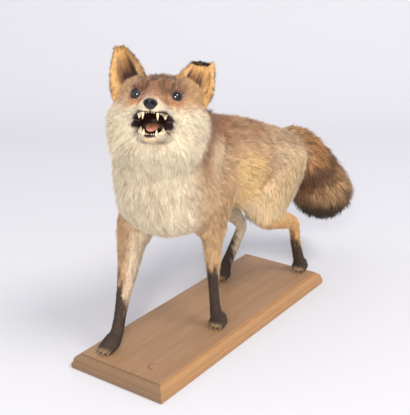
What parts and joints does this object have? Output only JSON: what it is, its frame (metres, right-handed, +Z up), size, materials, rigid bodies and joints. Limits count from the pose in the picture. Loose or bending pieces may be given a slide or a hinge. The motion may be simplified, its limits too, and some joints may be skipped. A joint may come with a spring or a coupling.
{
  "type": "mounted red fox",
  "caption": "Life-size still model of a red fox walking with its head turned and its mouth open, fixed by its feet to a flat wooden board with a moulded edge.",
  "frame": {"origin": "centre of the board's flat underside", "axes": "+Z up; the fox's body runs along Y and faces -Y; +X is the fox's left side"},
  "size_m": [0.2027, 0.7423, 0.5471],
  "materials": {
    "coat": "dry fur on tanned skin",
    "nose": "painted satin black",
    "mouth": "painted satin",
    "eye": "polished",
    "board": "satin varnish"
  },
  "bodies": {
    "root": {"head": "coat", "lower_jaw": "coat", "neck": "coat", "chest": "coat", "barrel": "coat", "hindquarters": "coat", "tail_root": "coat", "tail_middle": "coat", "tail_tip": "coat", "right_shoulder": "coat", "right_foreleg": "coat", "right_fore_paw": "coat", "left_shoulder": "coat", "left_foreleg": "coat", "left_fore_paw": "coat", "right_thigh": "coat", "right_shank": "coat", "right_hind_paw": "coat", "left_thigh": "coat", "left_shank": "coat", "left_hind_paw": "coat", "ear_right": "coat", "ear_left": "coat", "nose": "nose", "tongue": "mouth", "eye_right": "eye", "eye_left": "eye", "base_board": "board"}
  },
  "joints": []
}
